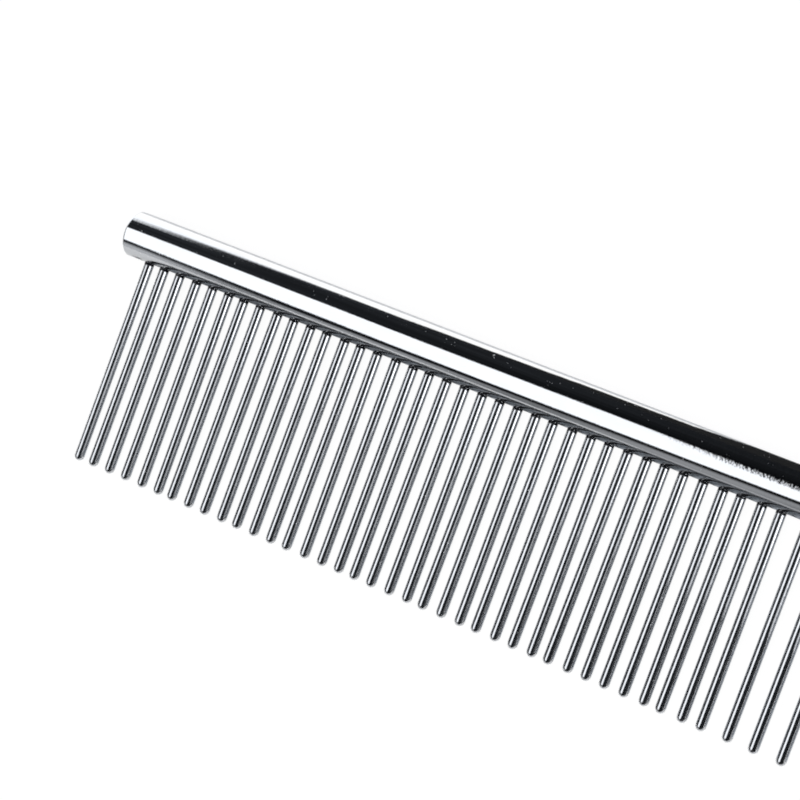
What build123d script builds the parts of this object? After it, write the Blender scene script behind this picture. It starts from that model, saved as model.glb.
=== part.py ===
from build123d import *

import os
from math import asin, cos, degrees, radians, tan

# Steel grooming comb: straight round-tipped pins pressed into blind holes drilled along a round spine bar.
#
# The comb lies on its side, as it does on a table. X runs along the spine, from the fine end at -X to the
# coarse end at +X, and the pins point towards -Y. The spine's underside and the pin tips touch Z = 0, and
# the origin is in the middle of the comb's footprint. Lengths are in millimetres and angles in degrees.

# Driving dimensions of the spine bar
SPINE_LENGTH = 190.5
SPINE_DIAMETER = 5.9
SPINE_END_ROUNDING = 0.25

# Driving dimensions of the pins. Fine and coarse pins are the same pin at two spacings.
PIN_DIAMETER = 1.25
PIN_REACH = 29.85
PIN_FOOT_CHAMFER = 0.15
FINE_PIN_COUNT = 37
FINE_PITCH = 2.5
COARSE_PIN_COUNT = 27
COARSE_TO_FINE_PITCH = 1.39

# Driving dimensions of the blind holes that the pins are pressed into
HOLE_DEPTH_IN_SPINE_DIAMETERS = 0.7
DRILL_POINT_ANGLE = 118

# Coarse pins that are sub-parts of their own. The others go two to a sub-part, to keep their number modest.
SINGLE_COARSE_PIN_COUNT = 3
PINS_PER_PAIR = 2

# Sizes that follow from the driving dimensions
SPINE_RADIUS = SPINE_DIAMETER / 2
PIN_RADIUS = PIN_DIAMETER / 2
HOLE_DEPTH = HOLE_DEPTH_IN_SPINE_DIAMETERS * SPINE_DIAMETER
PIN_FOOT_Y = HOLE_DEPTH - SPINE_RADIUS
PIN_LENGTH = PIN_REACH + PIN_FOOT_Y
DRILL_POINT_LENGTH = PIN_RADIUS / tan(radians(DRILL_POINT_ANGLE / 2))
COARSE_PITCH = COARSE_TO_FINE_PITCH * FINE_PITCH
FINE_SPAN = (FINE_PIN_COUNT - 1) * FINE_PITCH
COARSE_SPAN = COARSE_PIN_COUNT * COARSE_PITCH
END_MARGIN = (SPINE_LENGTH - FINE_SPAN - COARSE_SPAN) / 2

# The comb rests on the spine and on the pin tips, so its pins slope down towards their tips. The slope is
# the height of the spine's axis over the tips' centres, taken along the distance between the two.
TIP_CENTRE_REACH = PIN_REACH - PIN_RADIUS
PIN_SLOPE = degrees(asin((SPINE_RADIUS - PIN_RADIUS) / TIP_CENTRE_REACH))
FRONT_REACH = TIP_CENTRE_REACH * cos(radians(PIN_SLOPE)) + PIN_RADIUS
SPINE_AXIS_Y = (FRONT_REACH - SPINE_RADIUS) / 2


def fine_pin_x(index):
    """Place along the spine of a fine pin, counted from 0 at the fine end."""
    return -SPINE_LENGTH / 2 + END_MARGIN + index * FINE_PITCH


def coarse_pin_x(index):
    """Place along the spine of a coarse pin, counted from 0 beside the last fine pin."""
    return fine_pin_x(FINE_PIN_COUNT - 1) + (index + 1) * COARSE_PITCH


def all_pin_places():
    """Places along the spine of every pin, fine ones first."""
    fine_places = [fine_pin_x(index) for index in range(FINE_PIN_COUNT)]
    coarse_places = [coarse_pin_x(index) for index in range(COARSE_PIN_COUNT)]
    return fine_places + coarse_places


def turned_solid(outline):
    """Solid turned about Z from a closed outline of points and curves drawn in X (radius) and Z (height)."""
    return revolve(Plane.XZ * make_face(outline), Axis.Z)


def pin_along_z():
    """One pin upright: its chamfered foot at Z = 0 and its round tip at the top."""
    tip_start = (PIN_RADIUS, PIN_LENGTH - PIN_RADIUS)
    tip_end = (0, PIN_LENGTH)
    shank = Polyline(
        (0, 0),
        (PIN_RADIUS - PIN_FOOT_CHAMFER, 0),
        (PIN_RADIUS, PIN_FOOT_CHAMFER),
        tip_start,
    )
    tip = RadiusArc(tip_start, tip_end, -PIN_RADIUS)
    axis = Line(tip_end, (0, 0))
    return turned_solid(shank + tip + axis)


def drill_along_z():
    """The space that one blind hole takes: flat shoulder at Z = 0, drill point below, open end above."""
    outline = Polyline(
        (0, -DRILL_POINT_LENGTH),
        (PIN_RADIUS, 0),
        (PIN_RADIUS, SPINE_DIAMETER),
        (0, SPINE_DIAMETER),
        close=True,
    )
    return turned_solid(outline)


def point_out_of_spine(upright_shape, place_x):
    """Turn a shape that stands along Z to point to -Y, with its foot deep in the spine at place_x."""
    return Pos(place_x, PIN_FOOT_Y, 0) * Rot(X=90) * upright_shape


def lay_down(comb_shape):
    """Move a shape from the comb's own plane to where it lies, resting on the spine and the pin tips."""
    return Pos(0, SPINE_AXIS_Y, SPINE_RADIUS) * Rot(X=PIN_SLOPE) * comb_shape


def make_spine():
    """Round bar along X with rounded rims and one blind hole for each pin."""
    bar = Cylinder(SPINE_RADIUS, SPINE_LENGTH, rotation=(0, 90, 0))
    bar = fillet(bar.edges().filter_by(GeomType.CIRCLE), SPINE_END_ROUNDING)
    drill = drill_along_z()
    return lay_down(bar - [point_out_of_spine(drill, place_x) for place_x in all_pin_places()])


def make_pin(place_x):
    """One pin, pressed into the spine at place_x."""
    return lay_down(point_out_of_spine(pin_along_z(), place_x))


def pair_name(first_number):
    """Name of the sub-part that holds two neighbouring coarse pins."""
    return f"coarse_pins_{first_number:02d}_{first_number + 1:02d}"


def make_sub_parts():
    """Every sub-part of the comb, by name."""
    sub_parts = {"spine": make_spine()}
    for index in range(FINE_PIN_COUNT):
        sub_parts[f"fine_pin_{index + 1:02d}"] = make_pin(fine_pin_x(index))
    for index in range(SINGLE_COARSE_PIN_COUNT):
        sub_parts[f"coarse_pin_{index + 1:02d}"] = make_pin(coarse_pin_x(index))
    for index in range(SINGLE_COARSE_PIN_COUNT, COARSE_PIN_COUNT, PINS_PER_PAIR):
        pair = [make_pin(coarse_pin_x(index)), make_pin(coarse_pin_x(index + 1))]
        sub_parts[pair_name(index + 1)] = Compound(children=pair)
    return sub_parts


os.makedirs("parts", exist_ok=True)
for name, shape in make_sub_parts().items():
    export_step(shape, f"parts/{name}.step")
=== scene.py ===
import random
from math import asin, cos, pi, radians, sin, sqrt, tan

import bmesh
import bpy
from mathutils import Matrix, Vector


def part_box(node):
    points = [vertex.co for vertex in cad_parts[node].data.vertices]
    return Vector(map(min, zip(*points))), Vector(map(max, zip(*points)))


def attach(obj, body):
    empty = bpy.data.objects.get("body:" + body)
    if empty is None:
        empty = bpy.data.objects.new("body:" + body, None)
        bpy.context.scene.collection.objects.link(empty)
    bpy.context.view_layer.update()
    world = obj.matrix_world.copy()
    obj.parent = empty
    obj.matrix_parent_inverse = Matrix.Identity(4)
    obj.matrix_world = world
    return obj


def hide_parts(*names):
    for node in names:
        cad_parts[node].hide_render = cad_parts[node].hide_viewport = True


# The looks of a steel grooming comb: a chrome-plated spine bar with chrome-plated wire pins in drilled holes.
# Lengths are in metres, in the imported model's frame: X along the spine, pins towards -Y, Z up.

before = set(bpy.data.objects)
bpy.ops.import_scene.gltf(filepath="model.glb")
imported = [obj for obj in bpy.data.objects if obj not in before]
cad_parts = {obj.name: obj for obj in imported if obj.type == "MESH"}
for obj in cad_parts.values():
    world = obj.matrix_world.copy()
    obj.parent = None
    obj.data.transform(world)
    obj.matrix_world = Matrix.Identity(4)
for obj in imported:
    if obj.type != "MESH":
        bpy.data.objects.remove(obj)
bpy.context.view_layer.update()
random.seed(67304)

MM = 0.001
BODY = "root"

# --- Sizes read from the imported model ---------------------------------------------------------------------

spine_low, spine_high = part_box("spine")
pin_low, pin_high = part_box("fine_pin_01")
SPINE_RADIUS = (spine_high.y - spine_low.y) / 2
SPINE_LENGTH = spine_high.x - spine_low.x
PIN_WIDTH = pin_high.x - pin_low.x
PIN_RADIUS = PIN_WIDTH / 2
SPINE_AXIS = Vector((0, (spine_low.y + spine_high.y) / 2, SPINE_RADIUS))
TIP_CENTRE = Vector((0, pin_low.y + PIN_RADIUS, PIN_RADIUS))

# The comb's own plane: OUT points from the spine's axis to the pin tips, ACROSS is the plane's upper normal.
ALONG = Vector((1, 0, 0))
OUT = (TIP_CENTRE - SPINE_AXIS).normalized()
ACROSS = OUT.cross(ALONG)
PIN_SLOPE = asin(-OUT.z)
TIP_REACH = (TIP_CENTRE - SPINE_AXIS).length

# --- Sizes of details that only the looks need ------------------------------------------------------------

RIM_ROUNDING = 0.25 * MM
PIN_FOOT_CHAMFER = 0.15 * MM
DRILL_POINT_LENGTH = 0.38 * MM
HOLE_CLEARANCE = 0.008 * MM
HOLE_EDGE_BREAK = 0.03 * MM
PIN_FOOT = -((pin_high.y - SPINE_AXIS.y) - (PIN_RADIUS - PIN_FOOT_CHAMFER) * sin(PIN_SLOPE)) / cos(PIN_SLOPE)
HOLE_RADIUS = PIN_RADIUS + HOLE_CLEARANCE

# Real pins are never spaced and aimed perfectly. Each root is off by about the first of these lengths, and
# each pin leans sideways a little, which moves its tip by about the second.
ROOT_WANDER = 0.09 * MM
TIP_WANDER = 0.1 * MM

# Mesh density
PIN_SEGMENTS = 32
TIP_RINGS = 8
CELL_STEPS = 3
CELL_RINGS = 3
BARREL_STEPS = 60
RIM_STEPS = 6
SHARP_ANGLE = radians(35)

# Where the extra rings lie on the last stretch of barrel and on the flat end faces, as shares of each
STRETCH_SHARES = (0.5, 1)
END_FACE_SHARES = (0.97, 0.6, 0.25)


def comb_point(x, out, across):
    """A point given in the comb's own plane, as a point in the frame."""
    return SPINE_AXIS + ALONG * x + OUT * out + ACROSS * across


def new_piece(name, bm, material, slot, *nodes):
    """Turn a bmesh into a named piece that stands for CAD nodes and rides on the comb's one body."""
    bmesh.ops.recalc_face_normals(bm, faces=bm.faces)
    mesh = bpy.data.meshes.new(name)
    bm.to_mesh(mesh)
    bm.free()
    mesh.polygons.foreach_set("use_smooth", [True] * len(mesh.polygons))
    mesh.set_sharp_from_angle(angle=SHARP_ANGLE)
    mesh.materials.append(material)
    piece = bpy.data.objects.new(name, mesh)
    bpy.context.scene.collection.objects.link(piece)
    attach(piece, BODY)
    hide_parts(*nodes)
    return piece


def bridge(bm, ring_a, ring_b):
    """Quads between two closed rings of the same number of vertices."""
    count = len(ring_a)
    for i in range(count):
        j = (i + 1) % count
        bm.faces.new((ring_a[i], ring_a[j], ring_b[j], ring_b[i]))


def fan(bm, ring, centre):
    """Triangles from a closed ring to one vertex."""
    count = len(ring)
    for i in range(count):
        bm.faces.new((ring[i], ring[(i + 1) % count], centre))


# --- Pins ---------------------------------------------------------------------------------------------------


def pin_profile():
    """The pin's outline as (distance along the pin from the spine's axis, radius) pairs, foot first."""
    outline = [
        (PIN_FOOT, PIN_RADIUS - PIN_FOOT_CHAMFER),
        (PIN_FOOT + PIN_FOOT_CHAMFER, PIN_RADIUS),
        (SPINE_RADIUS, PIN_RADIUS),
        (TIP_REACH, PIN_RADIUS),
    ]
    for step in range(1, TIP_RINGS):
        angle = pi / 2 * step / TIP_RINGS
        outline.append((TIP_REACH + PIN_RADIUS * sin(angle), PIN_RADIUS * cos(angle)))
    return outline


def add_pin(bm, x):
    """One wire pin at x. Outside the spine it leans a little sideways."""
    lean = random.gauss(0, TIP_WANDER) / (TIP_REACH - SPINE_RADIUS)

    def ring(out, radius):
        shift = lean * max(0, out - SPINE_RADIUS)
        angles = [2 * pi * i / PIN_SEGMENTS for i in range(PIN_SEGMENTS)]
        return [bm.verts.new(comb_point(x + shift + radius * cos(a), out, radius * sin(a))) for a in angles]

    rings = [ring(out, radius) for out, radius in pin_profile()]
    for ring_a, ring_b in zip(rings, rings[1:]):
        bridge(bm, ring_a, ring_b)
    foot = bm.verts.new(comb_point(x, PIN_FOOT, 0))
    apex_shift = lean * (TIP_REACH + PIN_RADIUS - SPINE_RADIUS)
    apex = bm.verts.new(comb_point(x + apex_shift, TIP_REACH + PIN_RADIUS, 0))
    fan(bm, rings[0], foot)
    fan(bm, rings[-1], apex)


def pin_places(node):
    """Where along the spine the pins of a CAD node stand: one place, or two for a pair."""
    low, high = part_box(node)
    places = [low.x + PIN_RADIUS]
    if high.x - low.x > 2 * PIN_WIDTH:
        places.append(high.x - PIN_RADIUS)
    return places


def build_pins(nodes, material):
    """A piece for each CAD pin node, and the places of all the pins' roots in order."""
    roots = []
    for node in nodes:
        bm = bmesh.new()
        for place in pin_places(node):
            root = place + random.gauss(0, ROOT_WANDER)
            add_pin(bm, root)
            roots.append(root)
        new_piece(node.replace("pin", "wire_pin", 1), bm, material, "pin_chrome", node)
    return roots


# --- Spine --------------------------------------------------------------------------------------------------


def barrel_point(x, angle, radius=SPINE_RADIUS):
    """A point on the spine's round surface. The angle turns from the pins' side towards the upper side."""
    return comb_point(x, radius * cos(angle), radius * sin(angle))


def cell_edges(places):
    """Edges between the cells that the barrel is divided into, one cell around each hole."""
    inner = [(a + b) / 2 for a, b in zip(places, places[1:])]
    first = places[0] - (inner[0] - places[0])
    last = places[-1] + (places[-1] - inner[-1])
    return [first] + inner + [last]


def cell_perimeter():
    """The (column, row) steps around a cell and the hole angle each one faces, anticlockwise."""
    n = CELL_STEPS
    step = pi / 4 / n
    right = [(n, k, k * step) for k in range(-n, n)]
    top = [(-k, n, pi / 2 + k * step) for k in range(-n, n)]
    left = [(-n, -k, pi + k * step) for k in range(-n, n)]
    bottom = [(k, -n, 3 * pi / 2 + k * step) for k in range(-n, n)]
    return right + top + left + bottom


def cell_share(step):
    """Place of a step between a cell's middle (0) and its edge (1), so that steps face the hole evenly."""
    return tan(pi / 4 * step / CELL_STEPS)


def build_spine(places, material):
    """The spine bar: a round bar with rounded rims and a blind drilled hole around the shank of each pin."""
    bm = bmesh.new()
    edges = cell_edges(places)
    half_angle = (edges[1] - edges[0]) / 2 / SPINE_RADIUS
    rows = range(-CELL_STEPS, CELL_STEPS + 1)
    cell_angles = [half_angle * cell_share(row) for row in rows]
    far_steps = range(1, BARREL_STEPS)
    far_angles = [half_angle + (2 * pi - 2 * half_angle) * k / BARREL_STEPS for k in far_steps]
    angles = cell_angles + far_angles

    def ring(x, radius=SPINE_RADIUS):
        return [bm.verts.new(barrel_point(x, angle, radius)) for angle in angles]

    def join_columns(column_a, column_b, first_row=0):
        count = len(angles)
        for i in range(first_row, count):
            j = (i + 1) % count
            bm.faces.new((column_a[i], column_a[j], column_b[j], column_b[i]))

    far_row = len(cell_angles) - 1
    column = ring(edges[0])
    first_column = column
    for place, low_edge, high_edge in zip(places, edges, edges[1:]):
        columns = {-CELL_STEPS: column}
        for step in range(-CELL_STEPS + 1, CELL_STEPS + 1):
            half = high_edge - place if step > 0 else place - low_edge
            x = place + half * cell_share(step)
            if step == CELL_STEPS:
                columns[step] = ring(x)
            else:
                inner_rows = range(1, far_row)
                columns[step] = [
                    None if i in inner_rows else bm.verts.new(barrel_point(x, angle))
                    for i, angle in enumerate(angles)
                ]
            join_columns(columns[step - 1], columns[step], far_row)
        add_hole(bm, place, low_edge, high_edge, half_angle, columns)
        column = columns[CELL_STEPS]
    add_end(bm, ring, join_columns, first_column, edges[0], -1)
    add_end(bm, ring, join_columns, column, edges[-1], 1)
    piece = new_piece("spine_bar", bm, material, "spine_chrome", "spine")
    set_barrel_normals(piece.data)
    return piece


def add_hole(bm, place, low_edge, high_edge, half_angle, columns):
    """Fill one cell of the barrel around its hole, and add the hole's wall, shoulder and drill point."""
    outer = []
    perimeter = cell_perimeter()
    for step, row, _ in perimeter:
        outer.append(columns[step][row + CELL_STEPS])
    rings = []
    for k in range(CELL_RINGS, 0, -1):
        share = (k - 1) / CELL_RINGS
        this_ring = []
        for step, row, hole_angle in perimeter:
            half = high_edge - place if step > 0 else place - low_edge
            mouth_radius = HOLE_RADIUS + HOLE_EDGE_BREAK
            mouth_x = place + mouth_radius * cos(hole_angle)
            mouth_angle = asin(mouth_radius * sin(hole_angle) / SPINE_RADIUS)
            edge_x = place + half * cell_share(step)
            edge_angle = half_angle * cell_share(row)
            x = mouth_x + (edge_x - mouth_x) * share
            angle = mouth_angle + (edge_angle - mouth_angle) * share
            this_ring.append(bm.verts.new(barrel_point(x, angle)))
        rings.append(this_ring)
    wall_mouth, wall_end = [], []
    for _, _, hole_angle in perimeter:
        x = place + HOLE_RADIUS * cos(hole_angle)
        across = HOLE_RADIUS * sin(hole_angle)
        surface = sqrt(SPINE_RADIUS**2 - across**2)
        wall_mouth.append(bm.verts.new(comb_point(x, surface - HOLE_EDGE_BREAK, across)))
        wall_end.append(bm.verts.new(comb_point(x, PIN_FOOT, across)))
    for ring_a, ring_b in zip([outer] + rings, rings + [wall_mouth]):
        bridge(bm, ring_a, ring_b)
    bridge(bm, wall_mouth, wall_end)
    fan(bm, wall_end, bm.verts.new(comb_point(place, PIN_FOOT - DRILL_POINT_LENGTH, 0)))


def add_end(bm, ring, join_columns, column, start_x, side):
    """The plain end of the bar: the last stretch of barrel, the rounded rim and the flat end face."""
    end_x = side * SPINE_LENGTH / 2
    rim_x = end_x - side * RIM_ROUNDING
    stations = [(start_x + (rim_x - start_x) * share, SPINE_RADIUS) for share in STRETCH_SHARES]
    for step in range(1, RIM_STEPS + 1):
        angle = pi / 2 * step / RIM_STEPS
        radius = SPINE_RADIUS - RIM_ROUNDING * (1 - cos(angle))
        stations.append((rim_x + side * RIM_ROUNDING * sin(angle), radius))
    flat_radius = SPINE_RADIUS - RIM_ROUNDING
    stations += [(end_x, flat_radius * share) for share in END_FACE_SHARES]
    for x, radius in stations:
        next_column = ring(x, radius)
        join_columns(column, next_column)
        column = next_column
    fan(bm, column, bm.verts.new(comb_point(end_x, 0, 0)))


def set_barrel_normals(mesh):
    """Give the barrel exactly round shading, whatever the mesh around the holes looks like."""
    normals = [Vector((0, 0, 0))] * len(mesh.loops)
    barrel_end = SPINE_LENGTH / 2 - RIM_ROUNDING
    tolerance = 0.002 * MM
    for polygon in mesh.polygons:
        spokes = []
        for index in polygon.vertices:
            point = mesh.vertices[index].co
            spokes.append(Vector((0, point.y - SPINE_AXIS.y, point.z - SPINE_AXIS.z)))
        on_barrel = all(abs(spoke.length - SPINE_RADIUS) < tolerance for spoke in spokes)
        within = all(abs(mesh.vertices[index].co.x) < barrel_end + tolerance for index in polygon.vertices)
        if on_barrel and within:
            for loop_index, spoke in zip(polygon.loop_indices, spokes):
                normals[loop_index] = spoke.normalized()
    mesh.normals_split_custom_set(normals)


# --- Materials ----------------------------------------------------------------------------------------------

# The chrome plate's colour, how much of it is left in haze and in pits, and the colours of dust and of the
# painted shade at the pins' roots
CHROME_TINT = (0.66, 0.663, 0.667)
HAZY_SHARE = 0.95
PIT_SHARE = 0.3
SPECK_COLOUR = (0.95, 0.95, 0.95, 1)
# Painted shade: the near-black colour laid in a ring at each pin's root and in each hole's broken edge
ROOT_SHADE_COLOUR = (0.03, 0.03, 0.035, 1)

# Pattern sizes, as repeats per metre. Pairs are along and across the piece.
LINE_SCALES = (60, 9000)
CLOUD_SCALES = (300, 900)
PEEL_SCALE = 2600
GRIT_SCALE = 5200
GRAIN_SCALE = 3300
SPECK_SCALE = 2600
ROOT_SHADE_SCALE = 2000
SPINE_PIT_SCALE = 700
PIN_PIT_SCALE = 900

# Spans of a pattern's values over which its effect comes in. Most of a noise lies within the first.
NOISE_SPAN = (0.3, 0.7)
LINE_SPAN = (0.35, 0.7)
CLOUD_SPAN = (0.3, 0.75)
GRIT_SPAN = (0.45, 0.75)

# A spot lies in each cell whose random value is in the span. Its radius grows over the span from the first
# of the radii to the second, in cell sizes, and none shows below zero.
PIT_SPAN = (0.93, 1.0)
PIT_RADII = (-0.03, 0.09)
PIT_BLUR = 0.02
SPECK_SPAN = (0.68, 1.0)
SPECK_RADII = (-0.05, 0.17)
SPECK_BLUR = 0.04

LINE_ROUGHNESS = (0.03, 0.06)
HAZE_ROUGHNESS = 0.06
HAZE_SHARES = (0.2, 1.0)
SPECK_ROUGHNESS = 0.45
ROOT_SHADE_ROUGHNESS = 0.7

# Heights in the bump are relative to the polishing lines' height, which is BUMP_DEPTH.
BUMP_DEPTH = 0.002 * MM
PEEL_HEIGHT = 0.25
GRAIN_HEIGHT = 1.0
WORN_GRAIN_HEIGHT = 7.0
PIT_DEPTH = 0.03 * MM

# The plating is worn on the spine's back around its middle, where the comb is held. Wear fades out over these
# distances from the middle, and comes in over these offsets from the axis, which lie on the pins' side of it.
WEAR_ENDS = (6 * MM, 22 * MM)
WEAR_OFFSETS = (-0.6 * MM, -0.1 * MM)

# The painted shade at each pin's root climbs the pin to an uneven height, given as shares of the height
# below, and fades out over the FADE shares of that. The starts are heights over the barrel, where it begins
# on a pin and down in a hole's broken edge. The rims at the spine's ends, within BARE_ENDS of them, have
# none.
ROOT_SHADE_HEIGHT = 0.22 * MM
ROOT_SHADE_SHARES = (0.7, 1.2)
ROOT_SHADE_FADE = (1.0, 1.6)
ROOT_SHADE_START = (0.004 * MM, 0.01 * MM)
HOLE_SHADE_START = (-0.003 * MM, -0.006 * MM)
BARE_ENDS = (2 * MM, 1 * MM)


class Nodes:
    """Short forms for adding and linking shader nodes in one node tree."""

    def __init__(self, tree):
        self.tree = tree
        self.tree.nodes.clear()

    def add(self, kind, inputs=(), **settings):
        """Add a node. inputs pairs a socket's name or number with a value or with another node's socket."""
        node = self.tree.nodes.new(kind)
        for key, value in settings.items():
            setattr(node, key, value)
        for key, value in dict(inputs).items():
            if isinstance(value, bpy.types.NodeSocket):
                self.tree.links.new(value, node.inputs[key])
            else:
                node.inputs[key].default_value = value
        return node

    def maths(self, operation, a, b=0.0):
        """The result of a sum or other operation on one or two numbers."""
        return self.add("ShaderNodeMath", {0: a, 1: b}, operation=operation).outputs[0]

    def vector_maths(self, operation, *vectors):
        """The node of an operation on vectors, whose result is its Vector or its Value output."""
        return self.add("ShaderNodeVectorMath", dict(enumerate(vectors)), operation=operation)

    def ramp(self, value, low, high, to_low=0.0, to_high=1.0, smooth=False):
        """Map a value from low..high to to_low..to_high, held within it."""
        kind = "SMOOTHSTEP" if smooth else "LINEAR"
        names = {"Value": value, "From Min": low, "From Max": high, "To Min": to_low, "To Max": to_high}
        return self.add("ShaderNodeMapRange", names, interpolation_type=kind).outputs["Result"]

    def noise(self, vector, scale, detail=2.0, roughness=0.5):
        """A cloudy pattern of values around 0.5."""
        names = {"Vector": vector, "Scale": scale, "Detail": detail, "Roughness": roughness}
        return self.add("ShaderNodeTexNoise", names).outputs["Fac"]

    def mix(self, factor, start, end):
        """A colour between start, where the factor is 0, and end, where it is 1."""
        names = {"Factor": factor, "A": start, "B": end}
        return self.add("ShaderNodeMix", names, data_type="RGBA").outputs["Result"]

    def surface(self, shader):
        """Make a shader the material's surface."""
        self.add("ShaderNodeOutputMaterial", {"Surface": shader.outputs[0]})


def new_material(name):
    """An empty material, and the short forms for its nodes."""
    material = bpy.data.materials.new(name)
    material.use_nodes = True
    return material, Nodes(material.node_tree)


def grain_coordinates(nodes, place, turn, scales):
    """Frame coordinates turned so that X runs along the piece, and scaled along and across it."""
    along_scale, across_scale = scales
    names = {"Vector": place, "Rotation": turn}
    turned = nodes.add("ShaderNodeMapping", names, vector_type="TEXTURE").outputs[0]
    names = {"Vector": turned, "Scale": (along_scale, across_scale, across_scale)}
    return nodes.add("ShaderNodeMapping", names).outputs[0]


def spots(nodes, place, scale, channel, span, radii, blur):
    """1 on small round spots and 0 between them. The channel of the cells' random colours picks the cells."""
    cells = nodes.add("ShaderNodeTexVoronoi", {"Vector": place, "Scale": scale})
    pick = nodes.add("ShaderNodeSeparateColor", {"Color": cells.outputs["Color"]}).outputs[channel]
    beyond = nodes.maths("SUBTRACT", cells.outputs["Distance"], nodes.ramp(pick, *span, *radii))
    return nodes.ramp(beyond, -blur, blur, 1.0, 0.0)


def painted_root_shade(nodes, place):
    """Painted shade: 1 in the hair-thin dark ring where a pin enters the spine and in the hole's broken edge,
    and 0 away from it.
    """
    from_axis = nodes.vector_maths("SUBTRACT", place, SPINE_AXIS).outputs[0]
    spoke = nodes.vector_maths("MULTIPLY", from_axis, (0, 1, 1)).outputs[0]
    lift = nodes.maths("SUBTRACT", nodes.vector_maths("LENGTH", spoke).outputs["Value"], SPINE_RADIUS)
    low, high = [share * ROOT_SHADE_HEIGHT for share in ROOT_SHADE_SHARES]
    height = nodes.ramp(nodes.noise(place, ROOT_SHADE_SCALE), *NOISE_SPAN, low, high)
    above = nodes.ramp(nodes.maths("DIVIDE", lift, height), *ROOT_SHADE_FADE, 1.0, 0.0)
    on_pin = nodes.maths("MULTIPLY", above, nodes.ramp(lift, *ROOT_SHADE_START))
    along = nodes.maths("ABSOLUTE", nodes.add("ShaderNodeSeparateXYZ", {"Vector": place}).outputs["X"])
    from_middle = [SPINE_LENGTH / 2 - bare for bare in BARE_ENDS]
    among_pins = nodes.ramp(along, *from_middle, 1.0, 0.0)
    in_hole = nodes.maths("MULTIPLY", among_pins, nodes.ramp(lift, *HOLE_SHADE_START))
    return nodes.maths("MAXIMUM", on_pin, in_hole)


def plate_colour(nodes, clouds, pits, specks, root_shade):
    """Chrome, slightly darker under haze and dark in pits, with dust on it and painted shade at the pins'
    roots.
    """
    hazy, clean, pitted = [(*[share * c for c in CHROME_TINT], 1) for share in (HAZY_SHARE, 1.0, PIT_SHARE)]
    colour = nodes.mix(nodes.ramp(clouds, *NOISE_SPAN), hazy, clean)
    colour = nodes.mix(pits, colour, pitted)
    colour = nodes.mix(specks, colour, SPECK_COLOUR)
    # Painted shade at the pins' roots and in the holes' broken edges, laid over the plate
    return nodes.mix(root_shade, colour, ROOT_SHADE_COLOUR)


def plate_roughness(nodes, place, lines, clouds, specks, root_shade):
    """Nearly a mirror, a little duller along the lines and in the haze, and dull on dust and on the painted
    root shade.
    """
    grit = nodes.ramp(nodes.noise(place, GRIT_SCALE, roughness=0.6), *GRIT_SPAN, 0.0, HAZE_ROUGHNESS)
    haze = nodes.maths("MULTIPLY", nodes.ramp(clouds, *CLOUD_SPAN, *HAZE_SHARES), grit)
    roughness = nodes.maths("ADD", nodes.ramp(lines, *LINE_SPAN, *LINE_ROUGHNESS), haze)
    roughness = nodes.maths("ADD", roughness, nodes.maths("MULTIPLY", specks, SPECK_ROUGHNESS))
    return nodes.maths("ADD", roughness, nodes.maths("MULTIPLY", root_shade, ROOT_SHADE_ROUGHNESS))


def plate_normal(nodes, place, lines, pits):
    """Polishing lines, orange peel, fine grain and pits. The grain is high where the spine is worn."""
    axes = nodes.add("ShaderNodeSeparateXYZ", {"Vector": place})
    near_middle = nodes.ramp(nodes.maths("ABSOLUTE", axes.outputs["X"]), *WEAR_ENDS, 1.0, 0.0, smooth=True)
    wear_start = [SPINE_AXIS.y + offset for offset in WEAR_OFFSETS]
    on_back = nodes.ramp(axes.outputs["Y"], *wear_start, smooth=True)
    worn = nodes.maths("MULTIPLY", near_middle, on_back)
    grain_height = nodes.ramp(worn, 0.0, 1.0, GRAIN_HEIGHT, WORN_GRAIN_HEIGHT)
    peel = nodes.maths("MULTIPLY", nodes.noise(place, PEEL_SCALE, roughness=0.55), PEEL_HEIGHT)
    grain = nodes.maths("MULTIPLY", nodes.noise(place, GRAIN_SCALE, detail=1.5), grain_height)
    height = nodes.maths("ADD", nodes.maths("ADD", lines, peel), grain)
    fine = nodes.add("ShaderNodeBump", {"Height": height, "Distance": BUMP_DEPTH, "Strength": 1.0})
    names = {"Height": pits, "Distance": PIT_DEPTH, "Normal": fine.outputs[0]}
    return nodes.add("ShaderNodeBump", names, invert=True).outputs[0]


def chrome(name, turn, pit_scale):
    """Bright chrome plate, with lengthwise polishing lines along the axis that turn points X to."""
    material, nodes = new_material(name)
    place = nodes.add("ShaderNodeTexCoord").outputs["Object"]
    lines = nodes.noise(grain_coordinates(nodes, place, turn, LINE_SCALES), 1.0, detail=3.0, roughness=0.6)
    clouds = nodes.noise(grain_coordinates(nodes, place, turn, CLOUD_SCALES), 1.0)
    pits = spots(nodes, place, pit_scale, 0, PIT_SPAN, PIT_RADII, PIT_BLUR)
    specks = spots(nodes, place, SPECK_SCALE, 1, SPECK_SPAN, SPECK_RADII, SPECK_BLUR)
    root_shade = painted_root_shade(nodes, place)
    nodes.surface(nodes.add("ShaderNodeBsdfPrincipled", {
        "Base Color": plate_colour(nodes, clouds, pits, specks, root_shade),
        "Metallic": 1.0,
        "Roughness": plate_roughness(nodes, place, lines, clouds, specks, root_shade),
        "Normal": plate_normal(nodes, place, lines, pits),
    }))
    return material


# --- Studio -------------------------------------------------------------------------------------------------

FLOOR_SIZE = 8.0
WHITE = (1, 1, 1, 1)
PIXEL_FILTER_WIDTH = 2.0
PAPER_COLOUR = (0.8, 0.8, 0.8, 1)
OVEREXPOSURE = 1.04
OVEREXPOSED_SHARE = 0.92

# The camera looks down on the fine half from above the coarse end, turned so that the spine runs across.
CAMERA_AZIMUTH = 87.25
CAMERA_ELEVATION = 65.07
CAMERA_ROLL = -65.15
CAMERA_DISTANCE = 347 * MM
CAMERA_LENS = 126.9
CAMERA_SENSOR = 36
CAMERA_CLIP_START = 10 * MM
AIM_SHARE_ALONG = 0.2215
AIM_SHARE_OUT = 0.247

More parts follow.
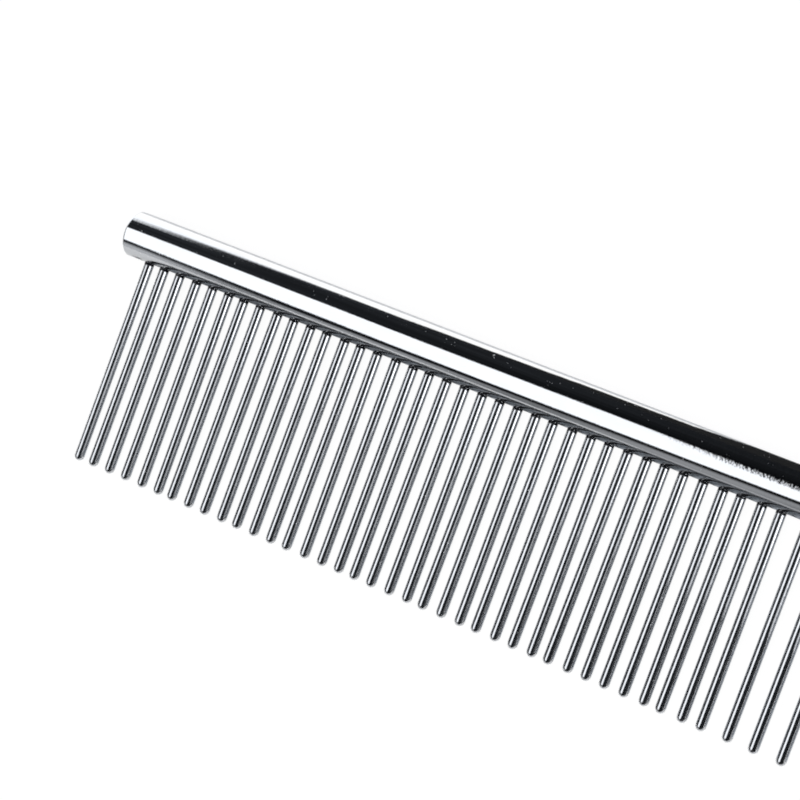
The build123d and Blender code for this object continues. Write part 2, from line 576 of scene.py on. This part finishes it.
# Soft panels far off around the comb, each given by the directions of its corners. Overlapping panels of
# one radiance make one lit shape.
KEY_RADIANCE = 1.6
KEY_SOFTBOX = [
    (-1.05, 0.235, 1),
    (-0.46, 0.185, 1),
    (-0.25, -0.125, 1),
    (-0.2, -0.65, 1),
    (-0.43, -1.01, 1),
    (-0.586, -1.257, 1),
    (-0.757, -1.453, 1),
    (-0.86, -1.535, 1),
    (-0.94, -1.51, 1),
    (-0.985, -1.39, 1),
]
KEY_CORNER = [(-0.46, 0.185, 1), (-0.375, 0.285, 1), (-0.345, 0.215, 1), (-0.3, -0.06, 1), (-0.5, -0.3, 1)]
KEY_STRIP = [(-0.3, -0.1, 1), (-0.14, -0.19, 1), (-0.12, -0.66, 1), (-0.3, -0.8, 1)]
BACK_PANEL = [(-0.437, 0.895, -0.09), (-0.517, 0.725, 0.454), (-0.877, 0.155, 0.454), (-0.98, 0.173, -0.09)]
BACK_RADIANCE = 1.55
WINDOW = [(1, -0.11, -0.05), (1, 0.6, -0.05), (1, 0.6, 0.85), (1, -0.11, 0.85)]
WINDOW_RADIANCE = 3.8
LOWER_WINDOW = [(1, -0.25, -0.05), (1, 0.6, -0.05), (1, 0.6, 0.7), (1, -0.25, 0.7)]
LOWER_WINDOW_RADIANCE = 0.95
# The front wall is lit unevenly along X. Its top edge dips to a notch between the halves.
WALL_LEFT = [(-0.55, -1, -0.1), (-0.55, -1, 0.21), (-0.67, -1, 0.45), (-0.72, -1, 0.45), (-0.72, -1, -0.1)]
WALL_MIDDLE = [(-0.42, -1, -0.1), (-0.42, -1, 0.35), (-0.55, -1, 0.21), (-0.55, -1, -0.1)]
WALL_RIGHT = [(-0.28, -1, -0.1), (-0.28, -1, 0.74), (-0.32, -1, 0.63), (-0.42, -1, 0.35), (-0.42, -1, -0.1)]
WALL_SPAN = (-0.515, -0.445)
WALL_RADIANCES = (0.63, 0.385)
PANEL_COLOUR = (0.97, 1.0, 1.05, 1)
SHARP_EDGE = 0.006
BACK_EDGE = 0.016
SOFT_EDGE = 0.035

# The rest of the room is dark, and lighter towards some sides. Each span is of a direction's X or Y, and the
# radiances are those at the span's two ends.
ROOM_COLOUR = (0.9, 1.0, 1.17, 1)
ROOM_LEFT_SPAN = (-0.5, -0.33)
ROOM_LEFT_RADIANCES = (0.018, 0.004)
ROOM_RIGHT_SPAN = (0.0, 0.5)
ROOM_RIGHT_RADIANCES = (0.0, 0.022)
ROOM_BACK_SPAN = (0.3, 0.9)
ROOM_BACK_RADIANCES = (0.0, 0.012)
ROOM_PATCH_SCALE = 9.0
ROOM_PATCH_SHARES = (0.5, 1.6)

# A fill light at the back, to both sides of what the camera sees mirrored. It brightens other views.
FILL_RIGHT_SPAN = (0.05, 0.25)
FILL_LEFT_SPAN = (-0.6, -0.75)
FILL_BACK_SPAN = (0.35, 0.6)
FILL_RADIANCES = (0.0, 0.75)

# A lamp that lights only the paper, from the softbox's side.
PAPER_LAMP_DIRECTION = Vector((0.15, -0.45, 1))
PAPER_LAMP_DISTANCE = 3.0
PAPER_LAMP_SIZE = 1.6
PAPER_LAMP_ENERGY = 58

# Cards that only reflections see. On the table lie a glowing white one behind the spine, painted light that
# stands for brightly lit paper, and a gray one in front of it, painted shade that stands for dimmer paper.
# There is shaded paper under the pins, and a black cloth over the glowing card's coarse half. A black card
# stands over the coarse pins. The Y of the glowing card's edge and of the cloth's is measured from the
# spine's axis.
CARD_REACH = 3.9
CARD_LIFT = 0.01 * MM
PAINTED_LIGHT_EDGE = 7.2 * MM
PAINTED_LIGHT_RADIANCE = 1.55
FRONT_SHADE_COLOUR = (0.47, 0.47, 0.48, 1)
FRONT_SHADE_MM = [(-30, -20), (900, -20), (900, -3900), (-1850, -3900)]
SHADED_PAPER_COLOUR = (0.46, 0.49, 0.53, 1)
SHADED_PAPER_LIFT = 0.012 * MM
SHADED_PAPER_END = 1.0
CLOTH_COLOUR = (0.02, 0.02, 0.02, 1)
CLOTH_LIFT = 0.02 * MM
CLOTH_EDGE_MM = [(-8, 4), (-18, 9.2), (-34, 12.6), (-49, 24), (-67, 42), (-97, 95), (-310, 526)]
CLOTH_REACH = 3.95
CLOTH_FAR_LEFT = -2.4
BLACK_CARD_X = 36 * MM
BLACK_CARD_Y = (-9 * MM, -90 * MM)
BLACK_CARD_Z = (7 * MM, 26 * MM)


def add_stage_mesh(name, corners, material):
    """A flat piece of the stage."""
    bm = bmesh.new()
    bm.faces.new([bm.verts.new(corner) for corner in corners])
    mesh = bpy.data.meshes.new(name)
    bm.to_mesh(mesh)
    bm.free()
    mesh.materials.append(material)
    piece = bpy.data.objects.new(name, mesh)
    bpy.context.scene.collection.objects.link(piece)
    return piece


def add_card(name, corners, material):
    """A stage piece that only reflections see."""
    card = add_stage_mesh(name, corners, material)
    card.visible_camera = False
    card.visible_diffuse = False
    card.visible_shadow = False
    card.visible_transmission = False


def flat_rectangle(x_start, x_end, y_start, y_end, lift):
    """The corners of a level rectangle."""
    return [(x_start, y_start, lift), (x_end, y_start, lift), (x_end, y_end, lift), (x_start, y_end, lift)]


def paper_material():
    """White paper. The camera sees it overexposed to nearly even white, as in a product picture."""
    material, nodes = new_material("white_paper")
    paper = nodes.add("ShaderNodeBsdfDiffuse", {"Color": PAPER_COLOUR})
    overexposed = nodes.add("ShaderNodeEmission", {"Color": WHITE, "Strength": OVEREXPOSURE})
    seen = nodes.add("ShaderNodeLightPath").outputs["Is Camera Ray"]
    share = nodes.maths("MULTIPLY", seen, OVEREXPOSED_SHARE)
    names = {0: share, 1: paper.outputs[0], 2: overexposed.outputs[0]}
    nodes.surface(nodes.add("ShaderNodeMixShader", names))
    return material


def matt_material(name, colour):
    """Plain card or cloth."""
    material, nodes = new_material(name)
    nodes.surface(nodes.add("ShaderNodeBsdfDiffuse", {"Color": colour}))
    return material


def glowing_material(name, radiance):
    """A card that glows an even white, as painted light."""
    material, nodes = new_material(name)
    nodes.surface(nodes.add("ShaderNodeEmission", {"Color": WHITE, "Strength": radiance}))
    return material


def build_floor():
    """The sheet of white paper that the comb lies on."""
    half = FLOOR_SIZE / 2
    add_stage_mesh("floor", flat_rectangle(-half, half, -half, half, 0), paper_material())


def build_table_cards():
    """The cards that lie on the table: painted light behind the spine, painted shade in front of it, and
    shaded paper under the pins.
    """
    # Painted light: a glowing card for brightly lit paper behind the spine
    near = SPINE_AXIS.y + PAINTED_LIGHT_EDGE
    corners = flat_rectangle(-CARD_REACH, CARD_REACH, near, CARD_REACH, CARD_LIFT)
    add_card("painted_light_card", corners, glowing_material("painted_light_card", PAINTED_LIGHT_RADIANCE))
    # Painted shade: a gray card for dimmer paper in front of the spine
    corners = [(x * MM, y * MM, CARD_LIFT) for x, y in FRONT_SHADE_MM]
    add_card("painted_front_shade", corners, matt_material("painted_front_shade", FRONT_SHADE_COLOUR))
    corners = flat_rectangle(pin_low.x, SHADED_PAPER_END, SPINE_AXIS.y, TIP_CENTRE.y, SHADED_PAPER_LIFT)
    add_card("shaded_paper", corners, matt_material("shaded_paper", SHADED_PAPER_COLOUR))


def build_black_cards():
    """The black cloth on the table, and the black card that stands over the coarse pins."""
    cloth = matt_material("black_cloth", CLOTH_COLOUR)
    edge = [(x * MM, SPINE_AXIS.y + y * MM, CLOTH_LIFT) for x, y in CLOTH_EDGE_MM]
    far = [(CLOTH_FAR_LEFT, CLOTH_REACH), (CLOTH_REACH, CLOTH_REACH), (CLOTH_REACH, edge[0][1])]
    add_card("black_cloth", edge + [(x, y, CLOTH_LIFT) for x, y in far], cloth)
    inner, outer = BLACK_CARD_Y
    low, high = BLACK_CARD_Z
    outline = [(inner, low), (outer, low), (outer, high), (inner, high)]
    add_card("black_card", [(BLACK_CARD_X, y, z) for y, z in outline], cloth)


def build_camera():
    """The camera at the photograph's angle, aimed at a point on the table under the fine half."""
    azimuth, elevation, roll = (radians(a) for a in (CAMERA_AZIMUTH, CAMERA_ELEVATION, CAMERA_ROLL))
    aim = Vector((spine_low.x + AIM_SHARE_ALONG * SPINE_LENGTH, 0, 0))
    aim.y = SPINE_AXIS.y + AIM_SHARE_OUT * (TIP_CENTRE.y - SPINE_AXIS.y)
    to_camera = Vector((sin(azimuth) * cos(elevation), -cos(azimuth) * cos(elevation), sin(elevation)))
    level_right = (-to_camera).cross(Vector((0, 0, 1))).normalized()
    level_up = to_camera.cross(level_right)
    right = level_right * cos(roll) + level_up * sin(roll)
    up = to_camera.cross(right)
    data = bpy.data.cameras.new("camera")
    data.lens = CAMERA_LENS
    data.sensor_width = CAMERA_SENSOR
    data.clip_start = CAMERA_CLIP_START
    camera = bpy.data.objects.new("camera", data)
    place = Matrix((right, up, to_camera)).transposed().to_4x4()
    place.translation = aim + to_camera * CAMERA_DISTANCE
    camera.matrix_world = place
    bpy.context.scene.collection.objects.link(camera)
    bpy.context.scene.camera = camera


def build_paper_lamp():
    """Light for the paper alone, which the chrome doesn't mirror."""
    data = bpy.data.lights.new("paper_lamp", "AREA")
    data.shape = "DISK"
    data.size = PAPER_LAMP_SIZE
    data.energy = PAPER_LAMP_ENERGY
    lamp = bpy.data.objects.new("paper_lamp", data)
    towards = PAPER_LAMP_DIRECTION.normalized()
    lamp.location = towards * PAPER_LAMP_DISTANCE
    lamp.rotation_euler = towards.to_track_quat("Z", "Y").to_euler()
    lamp.visible_glossy = False
    lamp.visible_camera = False
    bpy.context.scene.collection.objects.link(lamp)


def panel_share(nodes, direction, corners, softness):
    """1 for directions inside the panel whose corners lie in the given directions, and 0 outside it."""
    corners = [Vector(corner) for corner in corners]
    middle = sum(corners, Vector((0, 0, 0)))
    share = 1.0
    for corner, following in zip(corners, corners[1:] + corners[:1]):
        inward = corner.cross(following).normalized()
        if inward.dot(middle) < 0:
            inward.negate()
        beyond = nodes.vector_maths("DOT_PRODUCT", direction, inward).outputs["Value"]
        share = nodes.maths("MINIMUM", nodes.ramp(beyond, -softness, softness), share)
    return share


def panel_radiance(nodes, direction, x):
    """The radiance of the panels in each direction, the brightest where they overlap."""
    wall_radiance = nodes.ramp(x, *WALL_SPAN, *WALL_RADIANCES)
    brightest = 0.0
    for corners, radiance, softness in (
        (KEY_SOFTBOX, KEY_RADIANCE, SHARP_EDGE),
        (KEY_CORNER, KEY_RADIANCE, SHARP_EDGE),
        (KEY_STRIP, KEY_RADIANCE, SHARP_EDGE),
        (BACK_PANEL, BACK_RADIANCE, BACK_EDGE),
        (WINDOW, WINDOW_RADIANCE, SOFT_EDGE),
        (LOWER_WINDOW, LOWER_WINDOW_RADIANCE, SOFT_EDGE),
        (WALL_LEFT, wall_radiance, SOFT_EDGE),
        (WALL_MIDDLE, wall_radiance, SOFT_EDGE),
        (WALL_RIGHT, wall_radiance, SOFT_EDGE),
    ):
        glow = nodes.maths("MULTIPLY", panel_share(nodes, direction, corners, softness), radiance)
        brightest = nodes.maths("MAXIMUM", glow, brightest)
    return brightest


def room_radiance(nodes, direction, x, y):
    """The radiance of the dark, uneven room around the panels, and of the fill light in it."""
    left = nodes.ramp(x, *ROOM_LEFT_SPAN, *ROOM_LEFT_RADIANCES)
    back = nodes.ramp(y, *ROOM_BACK_SPAN, *ROOM_BACK_RADIANCES)
    right = nodes.ramp(x, *ROOM_RIGHT_SPAN, *ROOM_RIGHT_RADIANCES)
    room = nodes.maths("ADD", nodes.maths("ADD", left, back), right)
    cloudy = nodes.noise(direction, ROOM_PATCH_SCALE, detail=3.0)
    patches = nodes.ramp(cloudy, *NOISE_SPAN, *ROOM_PATCH_SHARES)
    sideways = nodes.maths("MAXIMUM", nodes.ramp(x, *FILL_RIGHT_SPAN), nodes.ramp(x, *FILL_LEFT_SPAN))
    fill = nodes.maths("MULTIPLY", sideways, nodes.ramp(y, *FILL_BACK_SPAN, *FILL_RADIANCES))
    return nodes.maths("ADD", nodes.maths("MULTIPLY", room, patches), fill)


def build_world():
    """The room: white for the camera. In reflections it is dark, with the pale panels in it."""
    world = bpy.data.worlds.new("studio")
    world.use_nodes = True
    bpy.context.scene.world = world
    nodes = Nodes(world.node_tree)
    direction = nodes.add("ShaderNodeTexCoord").outputs["Generated"]
    axes = nodes.add("ShaderNodeSeparateXYZ", {"Vector": direction})
    x, y = axes.outputs["X"], axes.outputs["Y"]
    names = {"Color": PANEL_COLOUR, "Strength": panel_radiance(nodes, direction, x)}
    panels = nodes.add("ShaderNodeBackground", names)
    names = {"Color": ROOM_COLOUR, "Strength": room_radiance(nodes, direction, x, y)}
    room = nodes.add("ShaderNodeBackground", names)
    reflected = nodes.add("ShaderNodeAddShader", {0: panels.outputs[0], 1: room.outputs[0]})
    white = nodes.add("ShaderNodeBackground", {"Color": WHITE, "Strength": 1.0})
    seen = nodes.add("ShaderNodeLightPath").outputs["Is Camera Ray"]
    both = nodes.add("ShaderNodeMixShader", {0: seen, 1: reflected.outputs[0], 2: white.outputs[0]})
    nodes.add("ShaderNodeOutputWorld", {"Surface": both.outputs[0]})


# --- The comb -----------------------------------------------------------------------------------------------

pin_nodes = [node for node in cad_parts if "_pin" in node]
pin_nodes.sort(key=lambda node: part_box(node)[0].x)
spine_chrome = chrome("chrome_spine", (0, 0, 0), SPINE_PIT_SCALE)
pin_chrome = chrome("chrome_wire", (0, 0, pi / 2), PIN_PIT_SCALE)
pin_positions = build_pins(pin_nodes, pin_chrome)
build_spine(pin_positions, spine_chrome)
build_floor()
build_table_cards()
build_black_cards()
build_camera()
build_paper_lamp()
build_world()
bpy.context.scene.view_settings.view_transform = "Standard"
bpy.context.scene.cycles.filter_width = PIXEL_FILTER_WIDTH
